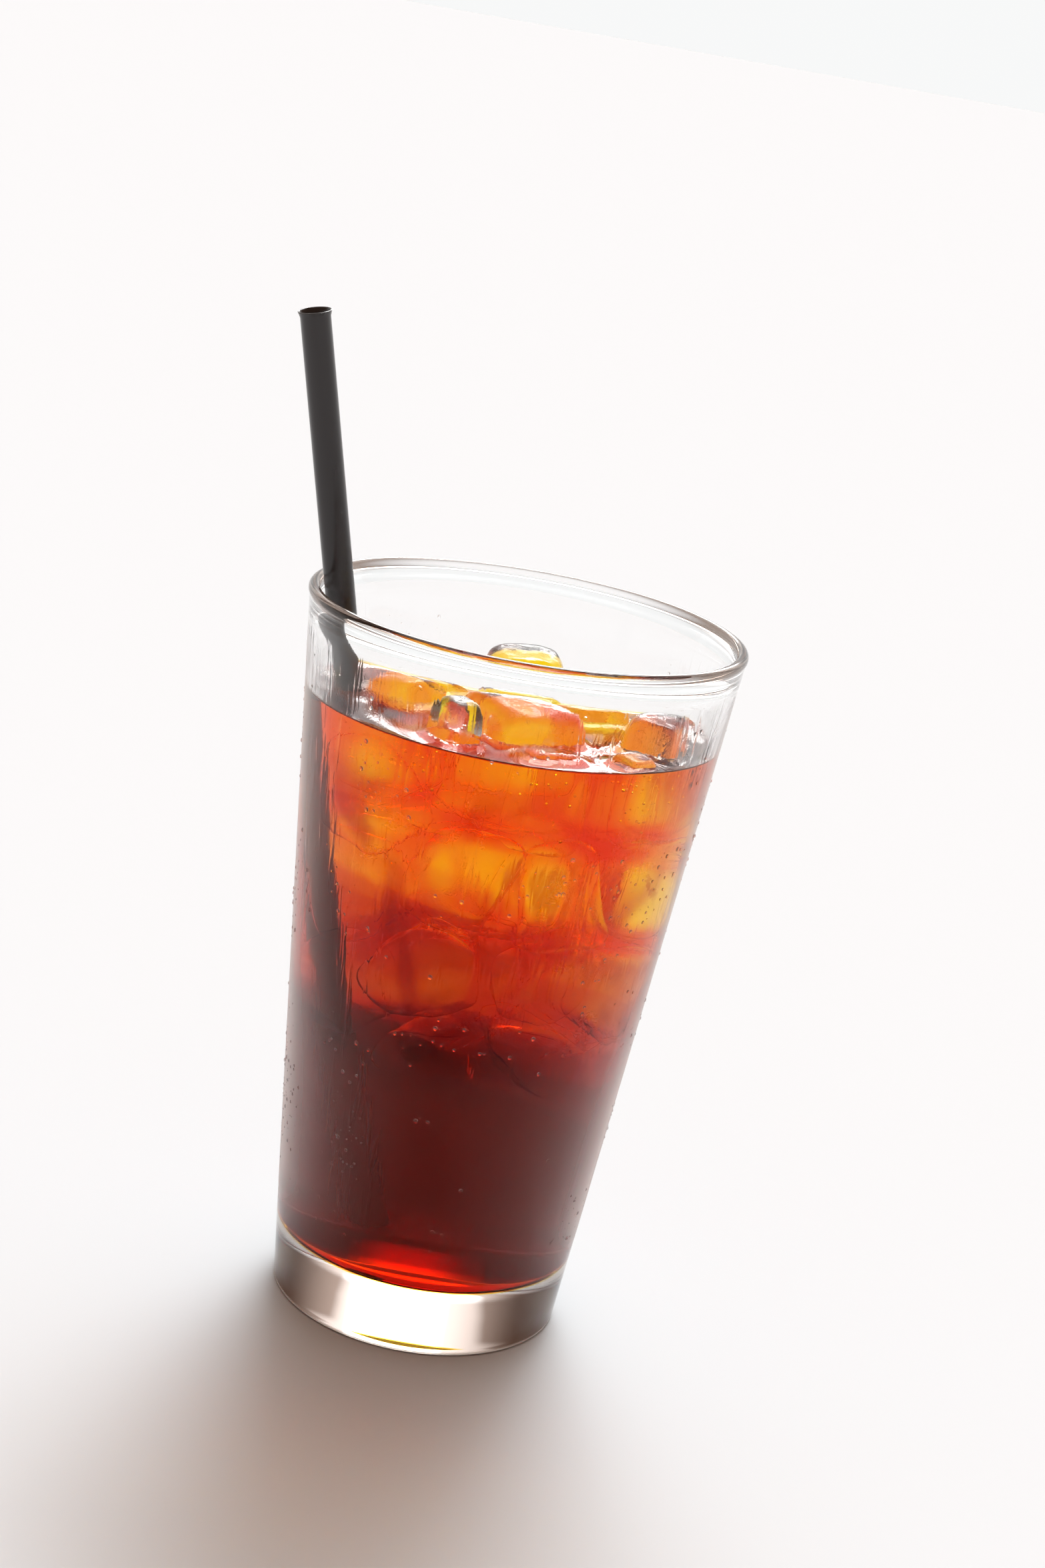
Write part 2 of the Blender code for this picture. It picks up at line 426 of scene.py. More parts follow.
def glass_material():
    """Clear glass whose inner wall is wetted by coffee and whose outer wall carries fine mist, with painted
    shade on the rim and on the foot's two sides, and a painted highlight along the foot's bottom edge.
    """
    glass = sizes("glass")
    surface = Surface("clear_glass_with_condensation")
    height = surface.axis("Z")
    inner = surface.attribute("inner")
    wet = inner * (height < wet_line())
    outside = 1.0 - inner
    cold = outside * height.band(*MIST_HEIGHTS)
    patches = surface.noise(surface.place(), 55.0, 3.0, 0.6).ramp(0.42, 0.68)
    specks = surface.noise(surface.place(), 2600.0, 2.0, 0.6)
    runs = surface.noise(surface.place((1.0, 1.0, 0.12)), 420.0, 2.0, 0.55, 0.6).ramp(0.48, 0.8)
    relief = (specks * patches * 0.35 + runs * 0.65) * cold
    normal = surface.bump(relief, 0.22, 0.4 * MM)
    edge_on = surface.node("ShaderNodeLayerWeight", None, {"Blend": 0.5}, out="Facing")
    # Painted shade: the rim's bead and the foot's two sides turn dark where they are seen edge on.
    rim = height.ramp(*(glass.height - depth for depth in RIM_SHADE_DEPTHS)) * edge_on.ramp(0.05, 0.45)
    foot = height.fade(*FOOT_SHADE_HEIGHTS) * edge_on.ramp(0.10, 0.12)
    shade = (rim + foot * glass.shade).clamped()
    tint = surface.blend(shade, CLEAR_GLASS, PAINTED_SHADE_COLOUR)
    dry_glass = surface.clear(WHITE, glass.index, Base_Color=tint, Normal=normal,
                              Specular_Tint=(0.2, 0.2, 0.2, 1.0))
    wet_glass = surface.clear(CLEAR_GLASS, glass.wet_index)
    clear = surface.mix(wet, dry_glass, wet_glass)
    low = height.fade(*MOST_MIST_HEIGHTS)
    veil = cold * (edge_on.power(4.5) + edge_on.power(2.2) * low * 0.6) * glass.mist
    # Painted highlight: a thin white band of the mist's material along the foot's bottom edge.
    painted_foot_highlight = outside * height.band(*FOOT_HIGHLIGHT_HEIGHTS) * 0.6
    veil = (veil + cold * patches * 0.006 + painted_foot_highlight).clamped()
    mist_and_highlight = surface.principled((0.97, 0.955, 0.955), 0.8, IOR=1.33, Transmission_Weight=0.35)
    return surface.finish(surface.mix(veil, clear, mist_and_highlight))


class MESH_OT_coffee_glass(bpy.types.Operator):
    """Build the clear glass with its thick base and rounded rim"""
    bl_idname = "mesh.coffee_glass"
    bl_label = "Glass"

    def execute(self, context):
        glass = sizes("glass")
        mesh = lathe("glass_body", glass_profile(), SEGMENTS)

        def faces_inside(face):
            middle = outer_radius(face.center.z) - 0.5 * glass.wall
            return face.center.z > 0.9 * glass.base and math.hypot(*face.center[:2]) < middle

        mark_faces(mesh, "inner", faces_inside)
        piece = add_piece("glass_body", mesh, glass_material())
        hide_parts("glass")
        return {"FINISHED"}


def wet_line():
    """How high the coffee climbs the wall."""
    coffee = sizes("coffee")
    return coffee.flat_level + coffee.rise


def straw_matrix():
    """The straw's own Z runs up along its axis, from its foot."""
    straw = sizes("straw")
    foot = Vector(straw.foot)
    axis = (Vector(straw.at_rim) - foot).normalized()
    turn = Vector((0.0, 0.0, 1.0)).rotation_difference(axis).to_matrix().to_4x4()
    return Matrix.Translation(foot) @ turn


class MESH_OT_coffee_straw(bpy.types.Operator):
    """Build the black straw, a thin open tube with a small flared lip"""
    bl_idname = "mesh.coffee_straw"
    bl_label = "Straw"

    def execute(self, context):
        straw = sizes("straw")
        inner = straw.radius - straw.wall
        flare = straw.length - 1.2 * MM
        edge = 0.3 * straw.wall
        profile = [
            (inner, 0.0),
            (inner, 0.5 * straw.length),
            (inner, flare),
            (inner + 0.5 * straw.lip, straw.length - 0.5 * MM),
            (inner + straw.lip, straw.length - edge),
            (inner + straw.lip + edge, straw.length),
            (straw.radius + straw.lip - edge, straw.length),
            (straw.radius + straw.lip, straw.length - edge),
            (straw.radius + 0.5 * straw.lip, straw.length - 0.6 * MM),
            (straw.radius, flare),
            (straw.radius, 0.5 * straw.length),
            (straw.radius, 0.0),
            (inner, 0.0),
        ]
        mesh = lathe("straw_tube", profile, 64)
        weld(mesh)
        mesh.transform(straw_matrix())
        mesh.set_sharp_from_angle(angle=math.radians(50))
        surface = Surface("black_straw_plastic")
        scuffs = surface.noise(surface.place((1.0, 1.0, 0.15)), 900.0, 3.0, 0.6)
        shine = 0.16 + scuffs * 0.16
        normal = surface.bump(surface.noise(surface.place(), 180.0, 2.0), 0.05, 0.3 * MM)
        # Below the surface the black straw is painted reddish brown, a painted glow of the coffee's red
        # light.
        sunk = surface.axis("Z") < wet_line() - 3.0 * MM
        colour = surface.blend(sunk, straw.colour, straw.sunk_painted_glow)
        plastic = surface.principled((0.0, 0.0, 0.0), shine, IOR=1.5, Base_Color=colour, Normal=normal)
        piece = add_piece("straw_tube", mesh, surface.finish(plastic))
        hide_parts("straw")
        return {"FINISHED"}


def mesh_of(shape, name):
    """The edited shape as a new mesh."""
    mesh = bpy.data.meshes.new(name)
    shape.to_mesh(mesh)
    shape.free()
    return mesh


def weld(mesh):
    shape = bmesh.new()
    shape.from_mesh(mesh)
    bmesh.ops.remove_doubles(shape, verts=shape.verts, dist=TINY)
    shape.to_mesh(mesh)
    shape.free()


class Cube:
    """A sunk ice cube or a crack: centre and size in millimetres, lean and turn in degrees."""

    def __init__(self, centre, size, lean, turn):
        self.centre = Vector(centre) * MM
        self.half = Vector(size) * 0.5 * MM
        self.rotation = Euler([math.radians(angle) for angle in (*lean, turn)]).to_matrix()


SUNK_CUBES = [Cube(*row) for row in (
    ((-21, -19, 114), (20, 17, 22), (8, -16), 38),
    ((-3.5, -25.5, 103), (17, 20, 24), (-8, 24), 15),
    ((14, -24, 99), (16, 18, 26), (10, -14), -12),
    ((28, -12, 103), (16, 20, 24), (14, 18), -28),
    ((-22, -14.5, 92.5), (20, 22, 22), (16, -26), -20),
    ((-7.5, -22, 81), (22, 19, 21), (10, 26), 22),
    ((13.5, -21, 83), (25, 14, 12), (12, -34), 24),
    ((25, -11, 79), (14, 18, 22), (-8, 34), 40),
    ((12, -19, 68), (22, 15, 12), (-10, 38), 20),
    ((-19, -11, 73), (18, 18, 16), (-12, -26), 28),
    ((-3, -20, 63), (18, 15, 13), (12, 30), -12),
    ((22, -10, 60.5), (16, 14, 11), (12, -24), -32),
    ((-1, 8, 117.5), (15, 13, 19), (6, 8), 20),
    ((29, 9, 111.5), (13, 15, 16), (-6, 7), -15),
    ((17.5, 25, 115.5), (18, 14, 22), (8, -5), -35),
    ((-17, 26.5, 115), (18, 14, 22), (-7, 6), 30),
    ((2, -3.5, 97), (23, 24, 28), (18, 22), 50),
    ((26, 2, 96.5), (22, 22, 28), (-12, 20), 24),
    ((1, 0, 75), (25, 24, 24), (-24, 18), 12),
    ((22, 6, 76), (22, 22, 24), (8, -24), -18),
    ((-12, 12.5, 91), (22, 20, 28), (20, -14), 40),
    ((6, 17.5, 96), (24, 22, 28), (-19, 15), 62),
    ((-9, 27, 98), (22, 19, 26), (14, 19), -8),
    ((22, 21.5, 94), (22, 22, 26), (-16, -18), 33),
    ((-3, 21.5, 72.5), (26, 23, 26), (12, 20), 17),
    ((16, 21, 72), (23, 24, 24), (-18, 16), -30),
    ((10, 2, 61), (20, 20, 14), (19, -12), 48),
)]


def roughen(mesh, lump, dimple, origin):
    """Melted relief: broad lumps and small dimples, moved along the surface's normals."""
    moved = []
    for vertex in mesh.vertices:
        broad = noise.noise(vertex.co * 110.0 + origin)
        small = noise.noise(vertex.co * 420.0 - origin)
        moved.append(vertex.co + vertex.normal * (lump * broad + dimple * small))
    for vertex, place in zip(mesh.vertices, moved):
        vertex.co = place


def sides_of(cube):
    """The planes of a cube's own six faces, as (outward normal, distance from its centre)."""
    planes = []
    for axis in range(3):
        normal = cube.rotation.col[axis]
        planes += [(normal, cube.half[axis]), (-normal, cube.half[axis])]
    return planes


def wall_planes(centre):
    """Planes just inside the glass wall, on the side of it that is nearest."""
    lean = math.atan(outer_radius(1.0) - outer_radius(0.0))
    nearest = math.atan2(centre.y, centre.x)
    planes = []
    for step in range(-2, 3):
        turn = nearest + step * math.radians(22.0)
        out = Vector((math.cos(turn), math.sin(turn), 0.0))
        normal = out * math.cos(lean) - Vector((0.0, 0.0, math.sin(lean)))
        touch = out * inner_radius(centre.z)
        touch.z = centre.z
        planes.append((normal, (touch - centre).dot(normal)))
    return planes


def drift(spot):
    """A vector that varies smoothly from spot to spot and is the same on each run."""
    return Vector([noise.noise(spot + Vector((0.0, 0.0, 17.0 * axis))) for axis in range(3)])


def trimmed_planes(cube, others):
    """A cube's faces, and where it melts against the wall, the straw and its neighbours."""
    ice = sizes("ice")
    near = 40.0 * MM
    cover = 1.5 * MM
    planes = wall_planes(cube.centre)
    for other in SUNK_CUBES:
        apart = other.centre - cube.centre
        if other is not cube and apart.length < near:
            skew = drift(cube.centre * 300.0 + apart * 500.0) * ice.skew
            planes.append(((apart.normalized() + skew).normalized(), 0.5 * apart.length - ice.wedge))
    for spots in others:
        middle = sum(spots, Vector()) / len(spots)
        toward = (middle - cube.centre).normalized()
        nearest = min((spot - cube.centre).dot(toward) for spot in spots)
        if nearest < 0.5 * near:
            planes.append((toward, nearest))
    local = straw_matrix().inverted() @ cube.centre
    away = Vector((local.x, local.y, 0.0))
    toward = -(straw_matrix().to_3x3() @ away.normalized())
    planes.append((toward, away.length - sizes("straw").radius))
    planes.append((Vector((0.0, 0.0, 1.0)), sizes("coffee").flat_level - cover - cube.centre.z))
    trimmed = [(normal, max(distance - ice.film, ice.least)) for normal, distance in planes]
    return sides_of(cube) + trimmed


def melted_block(cube, number, others):
    """A rounded block: each way from its centre it ends where its planes, blended, lie."""
    ice = sizes("ice")
    planes = trimmed_planes(cube, others)
    shape = bmesh.new()
    bmesh.ops.create_cube(shape, size=2.0)
    cuts = ice.divisions - 1
    bmesh.ops.subdivide_edges(shape, edges=shape.edges, cuts=cuts, use_grid_fill=True)
    for vertex in shape.verts:
        way = cube.rotation @ vertex.co.normalized()
        total = sum((max(normal.dot(way), 0.0) / distance) ** ice.squareness
                    for normal, distance in planes)
        vertex.co = cube.centre + way / total ** (1.0 / ice.squareness)
    mesh = mesh_of(shape, f"sunk_block_{number}")
    roughen(mesh, ice.lump, ice.dimple, Vector((number, 2.0 * number, 5.0)))
    mesh.shade_smooth()
    return mesh


def node_block(node):
    """A smooth, finer copy of a cube's solid: its quads are found again and subdivided."""
    ice = sizes("ice")
    shape = bmesh.new()
    shape.from_mesh(frame["nodes"][node].data)
    bmesh.ops.remove_doubles(shape, verts=shape.verts, dist=TINY)
    widest = math.radians(60)
    bmesh.ops.join_triangles(shape, faces=shape.faces, angle_face_threshold=widest,
                             angle_shape_threshold=widest)
    holder = bpy.data.objects.new(node + "_coarse", mesh_of(shape, node + "_coarse"))
    bpy.context.scene.collection.objects.link(holder)
    divide = holder.modifiers.new("divide", "SUBSURF")
    divide.levels = 2
    divide.render_levels = 2
    mesh = evaluated_mesh(holder)
    mesh.name = node + "_clear"
    number = ICE_NODES.index(node)
    roughen(mesh, 0.0, ice.dimple, Vector((3.0 * number, 1.0, 7.0)))
    mesh.shade_smooth()
    return mesh


def evaluated_mesh(holder):
    """The evaluated mesh as plain data; the holder and its own mesh are removed."""
    depsgraph = bpy.context.evaluated_depsgraph_get()
    mesh = bpy.data.meshes.new_from_object(holder.evaluated_get(depsgraph))
    old = holder.data
    bpy.data.objects.remove(holder, do_unlink=True)
    if isinstance(old, bpy.types.Mesh):
        bpy.data.meshes.remove(old)
    return mesh


def joined(name, meshes):
    """One mesh of several, which stay as they are."""
    shape = bmesh.new()
    for mesh in meshes:
        shape.from_mesh(mesh)
    result = mesh_of(shape, name)
    result.shade_smooth()
    return result


def ice_material():
    """Clear ice: in air above the liquid, almost unseen against coffee below it."""
    ice = sizes("ice")
    surface = Surface("wet_clear_ice")
    sunk = surface.axis("Z") < wet_line()
    ripple = surface.noise(surface.place(), 420.0, 3.0, 0.55, 0.3)
    normal = surface.bump(ripple, 0.3, 0.6 * MM)
    frost = surface.noise(surface.place(), 190.0, 3.0, 0.6).ramp(0.5, 0.66)
    in_air = surface.clear((0.985, 0.99, 0.995), ice.index, frost * 0.3 + 0.02, Normal=normal)
    in_coffee = surface.clear((1.0, 0.94, 0.85), ice.sunk_index)
    return surface.finish(surface.mix(sunk, in_air, in_coffee))


CRACKS = [Cube(*row) for row in (
    ((-17.5, -27, 111.5), (11, 4, 0.12), (78, 12), -20),
    ((-20, -25, 104), (8, 3, 0.12), (84, -20), -35),
    ((-5.5, -31, 117), (3, 15, 0.12), (96, 14), 20),
    ((-2, -30.5, 116), (2.4, 12, 0.12), (82, -10), -30),
    ((12, -29.5, 103), (3, 13, 0.12), (92, 8), 25),
    ((24.5, -22.5, 113), (10, 5, 0.12), (72, 24), 30),
    ((27, -20.5, 108), (8, 3, 0.12), (86, -12), 38),
    ((20, -22.5, 89), (14, 4, 0.12), (70, -20), 20),
    ((-4, -28.5, 92), (13, 4, 0.12), (80, 10), 5),
    ((5, -27, 74), (12, 3, 0.12), (74, -14), 10),
    ((22, -19, 72), (5, 12, 0.12), (84, 22), 30),
)]


def crack_sheet(crack, number):
    """A thin, bent and rippled sheet that tapers to nothing at its edge."""
    bend, twist, wave = 1.6 * MM, 0.9 * MM, 0.7 * MM
    shape = bmesh.new()
    bmesh.ops.create_uvsphere(shape, u_segments=40, v_segments=20, radius=1.0)
    for vertex in shape.verts:
        x, y, z = vertex.co
        spot = Vector((x * crack.half.x, y * crack.half.y, z * crack.half.z))
        ripple = noise.noise(Vector((spot.x, spot.y, 0.0)) * 420.0 + Vector((number, 0.0, 0.0)))
        spot.z += bend * x * x + twist * y * abs(y) + wave * ripple
        vertex.co = crack.centre + crack.rotation @ spot
    return mesh_of(shape, f"crack_{number}")


def crack_material():
    """Wisps of white where the ice has parted, and nothing between them."""
    surface = Surface("white_ice_cracks")
    wisps = surface.noise(surface.place(), 380.0, 3.0, 0.6, 0.8).ramp(0.48, 0.72)
    white = surface.clear(WHITE, 1.06, 0.3)
    return surface.finish(surface.mix(wisps, unseen(surface), white))


def bubble_mesh():
    """Small round bubbles scattered in the middle of each cube that shows."""
    ice = sizes("ice")
    spread = 0.32
    smallest, largest = 0.08, 0.3
    scatter = random.Random(ice.seed)
    shape = bmesh.new()
    for node in ICE_NODES:
        low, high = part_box(node)
        middle = 0.5 * (low + high)
        reach = spread * (high - low)
        for _count in range(ice.bubbles):
            spot = [middle[axis] + reach[axis] * scatter.uniform(-1.0, 1.0) for axis in range(3)]
            radius = scatter.uniform(smallest, largest) * MM
            bmesh.ops.create_icosphere(shape, subdivisions=2, radius=radius,
                                       matrix=Matrix.Translation(spot))
    mesh = mesh_of(shape, "ice_bubbles")
    mesh.shade_smooth()
    return mesh


def bubble_material():
    surface = Surface("air_in_ice")
    return surface.finish(surface.clear(WHITE, 1.0 / sizes("ice").index))


class MESH_OT_coffee_ice(bpy.types.Operator):
    """Build the ice: the cubes that show above the surface and those sunk under it"""
    bl_idname = "mesh.coffee_ice"
    bl_label = "Ice"

    def execute(self, context):
        material = ice_material()
        for node in ICE_NODES:
            piece = add_piece(node + "_clear", node_block(node), material)
            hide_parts(node)
        others = [[vertex.co for vertex in frame["nodes"][node].data.vertices] for node in ICE_NODES]
        blocks = [melted_block(cube, number, others) for number, cube in enumerate(SUNK_CUBES)]
        add_piece("ice_sunk", joined("ice_sunk", blocks), material)
        sheets = [crack_sheet(crack, number) for number, crack in enumerate(CRACKS)]
        add_piece("ice_cracks", joined("ice_cracks", sheets), crack_material())
        add_piece("ice_bubbles", bubble_mesh(), bubble_material())
        return {"FINISHED"}


def ice_pieces():
    """All the ice, without its cracks and bubbles."""
    return [piece for piece in bpy.data.objects if piece.name.startswith("ice_") and
            (piece.name.endswith("_clear") or piece.name == "ice_sunk")]


def liquid_height(x, y, trees):
    """Height of the surface, which climbs the wall, the straw and the ice that it touches."""
    coffee = sizes("coffee")
    spot = Vector((x, y, coffee.flat_level))
    gap = max(inner_radius(spot.z) - math.hypot(x, y), 0.0)
    local = straw_matrix().inverted() @ spot
    gap = min(gap, max(math.hypot(local.x, local.y) - sizes("straw").radius, 0.0))
    for tree in trees:
        found, normal, _index, distance = tree.find_nearest(spot)
        if normal.dot(spot - found) < 0.0:
            distance = 0.0
        gap = min(gap, distance)
    return coffee.flat_level + coffee.rise * math.exp(-gap / coffee.reach)


def coffee_shell():
    """The liquid's outer form: its surface from the centre out, the side, and the bottom."""
    coffee = sizes("coffee")
    glass = sizes("glass")
    edge = inner_radius(coffee.flat_level)
    steps = 46
    rings = [edge * part / steps for part in range(steps)]
    rings += [edge * (1.0 - part / (3.0 * steps)) for part in (2, 1, 0)]
    surface_rings = [(radius, coffee.flat_level) for radius in rings]
    top = wet_line()
    corner_z = glass.base + glass.inner_corner
    corner_r = inner_radius(corner_z) - glass.inner_corner
    side = []
    for part in range(25):
        height = top + (corner_z - top) * part / 25.0
        side.append((inner_radius(height) + coffee.bite, height))
    corner = arc(corner_r, corner_z, glass.inner_corner + coffee.bite, 0, -90, 8)
    bottom = [(0.0, glass.base - coffee.bite)]
    mesh = lathe("coffee_body", surface_rings + side + corner + bottom, SEGMENTS)
    trees = [BVHTree.FromPolygons([v.co for v in piece.data.vertices],
                                  [f.vertices for f in piece.data.polygons])
             for piece in ice_pieces() if piece.name != "ice_sunk"]
    for vertex in mesh.vertices:
        if abs(vertex.co.z - coffee.flat_level) < TINY:
            vertex.co.z = liquid_height(vertex.co.x, vertex.co.y, trees)
    return mesh


def shrunk(mesh, amount):
    """A copy moved in along its normals."""
    copy = mesh.copy()
    places = [vertex.co - vertex.normal * amount for vertex in copy.vertices]
    for vertex, place in zip(copy.vertices, places):
        vertex.co = place
    return copy


def set_index(mesh, index):
    for face in mesh.polygons:
        face.material_index = index


def absorbing(surface, absorption):
    """A volume that loses the given part of each colour over a metre."""
    density = max(absorption)
    tint = [1.0 - lost / density for lost in absorption]
    return surface.node("ShaderNodeVolumeAbsorption", None, {"Color": (*tint, 1.0), "Density": density})


def unseen(surface):
    """A boundary that bends and reflects nothing, as where coffee meets what holds it."""
    return surface.clear(WHITE, 1.0, Specular_IOR_Level=0.0)


def coffee_material():
    """One material for the whole liquid: its free surface refracts, its contacts don't."""
    coffee = sizes("coffee")
    surface = Surface("cold_brew_coffee")
    contact = surface.attribute("contact")
    wall = surface.attribute("wall")
    height = surface.axis("Z")
    normal = surface.bump(surface.noise(surface.place(), 60.0, 2.0), 0.12, MM)
    free = surface.clear(WHITE, coffee.index, Normal=normal)
    # A matte red skin on the coffee's lower wall: partly the haze of fine grounds, partly a painted red
    # glow that stands in for light coming through the coffee.
    grounds_and_glow = surface.principled((0.80, 0.06, 0.045), 1.0, Specular_IOR_Level=0.0)
    haze_and_glow_mask = wall * height.fade(coffee.deep_level - 5.0 * MM, coffee.deep_level + 25.0 * MM)
    with_haze_and_glow = surface.mix(haze_and_glow_mask * coffee.haze_and_glow, unseen(surface), grounds_and_glow)
    swirls = surface.noise(surface.place((1.0, 1.0, 0.7), (0.6, 0.5, 0.0)), 48.0, 2.0, 0.5, 0.7)
    melting = wall * height.band(coffee.deep_level, coffee.deep_level + 12.0 * MM,
                                 wet_line() - 14.0 * MM, wet_line() - 4.0 * MM)
    strong = surface.clear((0.48, 0.13, 0.04), 1.0, Specular_IOR_Level=0.0)
    touching = surface.mix(melting * swirls.ramp(0.49, 0.66) * coffee.swirl, with_haze_and_glow, strong)
    return surface.finish(surface.mix(contact, free, touching), absorbing(surface, coffee.absorption))


class MESH_OT_coffee_liquid(bpy.types.Operator):
    """Build the coffee, with spaces for the ice and the straw and a rim that climbs them"""
    bl_idname = "mesh.coffee_liquid"
    bl_label = "Coffee"

    def execute(self, context):
        ice = sizes("ice")
        straw = sizes("straw")
        shell = coffee_shell()
        space = straw.radius - 0.1 * MM
        below = -6.0 * MM
        rod = lathe("straw_space", [(0.0, straw.length), (space, straw.length), (space, below),
                                    (0.0, below)], 64)
        rod.flip_normals()
        rod.transform(straw_matrix())
        spaces = [shrunk(piece.data, ice.shrink) for piece in ice_pieces()]
        cutter_mesh = joined("coffee_spaces", spaces + [rod])
        free = bpy.data.materials.new("free_mark")
        contact = bpy.data.materials.new("contact_mark")
        for mesh, index in ((shell, 0), (cutter_mesh, 1)):
            mesh.materials.clear()
            mesh.materials.append(free)
            mesh.materials.append(contact)
            set_index(mesh, index)
        coffee = sizes("coffee")
        edge = inner_radius(coffee.flat_level)
        for face in shell.polygons:
            level = face.normal.z > 0.5 and math.hypot(*face.center[:2]) < edge - 0.02 * MM
            face.material_index = 0 if level else 1
        body = bpy.data.objects.new("coffee_body", shell)
        cutter = bpy.data.objects.new("coffee_spaces", cutter_mesh)
        for made in (body, cutter):
            bpy.context.scene.collection.objects.link(made)
        cut = body.modifiers.new("spaces", "BOOLEAN")
        cut.operation = "DIFFERENCE"
        cut.solver = "MANIFOLD"
        cut.object = cutter
        mesh = evaluated_mesh(body)
        bpy.data.objects.remove(cutter, do_unlink=True)
        mark_faces(mesh, "contact", lambda face: face.material_index == 1)
        slack = 0.05 * MM
        mark_faces(mesh, "wall", lambda face: math.hypot(*face.center[:2]) >
                   inner_radius(face.center.z) - slack)
        set_index(mesh, 0)
        mesh.shade_smooth()
        mesh.set_sharp_from_angle(angle=math.radians(35))
        mesh.name = "coffee_body"
        piece = add_piece("coffee_body", mesh, coffee_material())
        for mark in (free, contact):
            bpy.data.materials.remove(mark)
        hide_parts("coffee")
        # Each layer's side lies a little inside the last one's, so that no two coincide.
        self.add_layer("coffee_middle", coffee.middle_level, 0.8 * coffee.bite, coffee.middle_absorption)
        self.add_layer("coffee_deep", coffee.deep_level, 0.6 * coffee.bite, coffee.deep_absorption)
        return {"FINISHED"}

    def add_layer(self, name, level, bite, absorption):
        """Coffee up to a level that melt water has thinned less than what is above it."""
        glass = sizes("glass")
        corner_z = glass.base + glass.inner_corner
        corner_r = inner_radius(corner_z) - glass.inner_corner
        top = inner_radius(level) + bite
        profile = [(top * part / 24.0, level) for part in range(25)]
        profile += arc(corner_r, corner_z, glass.inner_corner + bite, 0, -90, 8)
        profile.append((0.0, glass.base - bite))
        mesh = lathe(name, profile, 96)
        self.slant(mesh, level, top, bite)
        surface = Surface(name)
        material = surface.finish(unseen(surface), absorbing(surface, absorption))
        add_piece(name, mesh, material)

    def slant(self, mesh, level, top, bite):
        """Make a layer's flat top slope and roll, as liquids do that haven't mixed yet."""
        coffee = sizes("coffee")
        for vertex in mesh.vertices:
            if abs(vertex.co.z - level) < TINY:
                flat = Vector((vertex.co.x, vertex.co.y, 0.0))
                lump = noise.noise(flat * 55.0 + Vector((0.0, 0.0, 400.0 * level)))
                height = level - coffee.slope * flat.x + coffee.roll * lump
                spread = (inner_radius(height) + bite) / top
                vertex.co = (flat.x * spread, flat.y * spread, height)


class Scatter(Surface):
    """A geometry node group, with its nodes made the same way as a material's."""

    def __init__(self, name):
        self.tree = bpy.data.node_groups.new(name, "GeometryNodeTree")
        self.tree.interface.new_socket("Pieces", in_out="OUTPUT", socket_type="NodeSocketGeometry")
        self.output = self.tree.nodes.new("NodeGroupOutput")
        self.given = {}

    def ask(self, name, kind, value=None):
        """A named input of the group; its value is given to each modifier that uses it."""
        socket = self.tree.interface.new_socket(name, in_out="INPUT", socket_type=kind)
        if value is not None:
            self.given[socket.identifier] = value
        return self.node("NodeGroupInput", out=name)

    def random(self, seed):
        """A number from 0 to 1 for each point."""
        values = {2: 0.0, 3: 1.0, 8: seed}
        return self.node("FunctionNodeRandomValue", {"data_type": "FLOAT"}, values, out=1)

    def applied(self, holder, result):
        """The group's result on the holder's mesh, as plain data."""
        self.tree.links.new(result.socket, self.output.inputs[0])
        modifier = holder.modifiers.new("scatter", "NODES")
        modifier.node_group = self.tree
        for identifier, value in self.given.items():
            modifier[identifier] = value
        return evaluated_mesh(holder)


class MESH_OT_coffee_condensation(bpy.types.Operator):
    """Build the small drops of water that sit in patches on the cold outer wall"""
    bl_idname = "mesh.coffee_condensation"
    bl_label = "Condensation"

    def execute(self, context):
        drops = sizes("drops")
        heights = [drops.highest + (drops.lowest - drops.highest) * part / 24.0 for part in range(25)]
        wall = lathe("cold_wall", [(outer_radius(height), height) for height in heights], 96)
        holder = bpy.data.objects.new("cold_wall", wall)
        context.scene.collection.objects.link(holder)
        surface = Surface("water_drops")
        water = surface.finish(surface.clear(WHITE, drops.index))
        scatter = Scatter("condensation")
        faces = scatter.ask("Wall", "NodeSocketGeometry")
        density = scatter.ask("Drops per area", "NodeSocketFloat", drops.per_area)
        smallest = scatter.ask("Smallest", "NodeSocketFloat", drops.smallest)
        largest = scatter.ask("Largest", "NodeSocketFloat", drops.largest)
        seed = scatter.ask("Seed", "NodeSocketInt", drops.seed)
        spot = scatter.node("GeometryNodeInputPosition")
        patches = scatter.noise(spot, 60.0, 3.0, 0.6).ramp(0.5, 0.68)
        points = scatter.node("GeometryNodeDistributePointsOnFaces", None,
                              {"Mesh": faces, "Density": density * patches, "Seed": seed})
        upright = Field(scatter, points.socket.node.outputs["Rotation"])
        radius = smallest + scatter.random(seed).power(3.0) * (largest - smallest)
        shape = scatter.node("ShaderNodeCombineXYZ", None, {0: radius, 1: radius, 2: radius * 0.55})
        ball = scatter.node("GeometryNodeMeshIcoSphere", None, {"Radius": 1.0, "Subdivisions": 2})
        placed = scatter.node("GeometryNodeInstanceOnPoints", None,
                              {"Points": points, "Instance": ball, "Rotation": upright, "Scale": shape})
        solid = scatter.node("GeometryNodeRealizeInstances", None, {"Geometry": placed})
        dressed = scatter.node("GeometryNodeSetMaterial", None, {"Geometry": solid, "Material": water})
        mesh = scatter.applied(holder, dressed)
        if len(mesh.polygons) > drops.most_faces:
            raise RuntimeError("The condensation has too many faces")
        mesh.shade_smooth()
        mesh.name = "condensation_drops"
        add_piece("condensation_drops", mesh, water)
        return {"FINISHED"}


